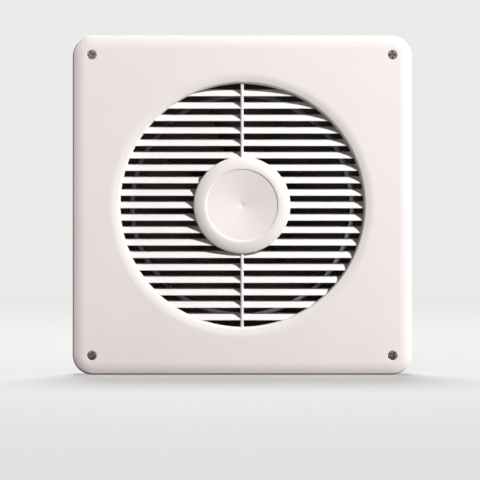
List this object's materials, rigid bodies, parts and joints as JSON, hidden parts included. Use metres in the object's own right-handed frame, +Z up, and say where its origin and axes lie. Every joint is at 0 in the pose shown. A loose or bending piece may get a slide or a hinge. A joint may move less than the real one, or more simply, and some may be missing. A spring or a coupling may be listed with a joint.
{
  "type": "subfloor ventilation fan",
  "caption": "Wall ventilation fan: square louvred cover, round hub cap, tube through the wall, and an axial impeller on a motor carried by a cross bracket.",
  "frame": {"origin": "where the fan's axis meets the plane of the wall, in the middle of the four wall screws", "axes": "+Y into the wall along the fan's axis, so the louvred front faces -Y; +Z up; +X to the right seen from the front"},
  "size_m": [0.29, 0.139, 0.29],
  "materials": {
    "cover_plastic": "warm off-white moulded plastic, satin",
    "housing_plastic": "black moulded plastic, fine grain",
    "impeller_plastic": "black moulded plastic",
    "box_plastic": "dark grey moulded plastic",
    "gland_plastic": "black nylon",
    "block_plastic": "natural nylon",
    "screw_steel": "dark plated steel",
    "plated_steel": "zinc plated",
    "bracket_steel": "galvanised",
    "ground_steel": "ground",
    "lamination_steel": "oiled laminations",
    "cast_aluminium": "die cast",
    "bearing_bronze": "sintered bronze",
    "winding_copper": "varnished copper",
    "mount_rubber": "black rubber",
    "gasket_foam": "closed-cell foam",
    "lead_sheath": "black cable sheath"
  },
  "bodies": {
    "fan_body": {"front_cover": "cover_plastic", "louvre_grille": "cover_plastic", "hub_cap": "cover_plastic", "base_plate": "housing_plastic", "wall_tube": "housing_plastic", "terminal_box": "box_plastic", "terminal_box_lid": "box_plastic", "cable_gland": "gland_plastic", "gland_locknut": "gland_plastic", "gland_dome_nut": "gland_plastic", "terminal_block": "block_plastic", "wall_screws": "screw_steel", "grille_screws": "plated_steel", "flange_screws": "plated_steel", "motor_studs": "plated_steel", "stud_washers": "plated_steel", "stud_nuts": "plated_steel", "bracket_screws": "plated_steel", "lid_screws": "plated_steel", "box_screws": "plated_steel", "motor_bracket": "bracket_steel", "stator_core": "lamination_steel", "front_shield": "cast_aluminium", "rear_shield": "cast_aluminium", "front_bush": "bearing_bronze", "rear_bush": "bearing_bronze", "stator_windings": "winding_copper", "motor_mounts": "mount_rubber", "gland_seal": "mount_rubber", "lead_grommets": "mount_rubber", "wall_gasket": "gasket_foam", "motor_lead": "lead_sheath"},
    "rotor": {"impeller": "impeller_plastic", "motor_shaft": "ground_steel", "drive_pin": "ground_steel", "impeller_washer": "plated_steel", "impeller_nut": "plated_steel", "rotor_core": "lamination_steel", "thrust_collars": "ground_steel"}
  },
  "joints": [
    {"name": "impeller_spin", "type": "hinge", "parent": "fan_body", "child": "rotor", "pos_m": [0, 0, 0], "axis": [0, -1, 0], "continuous": true}
  ]
}
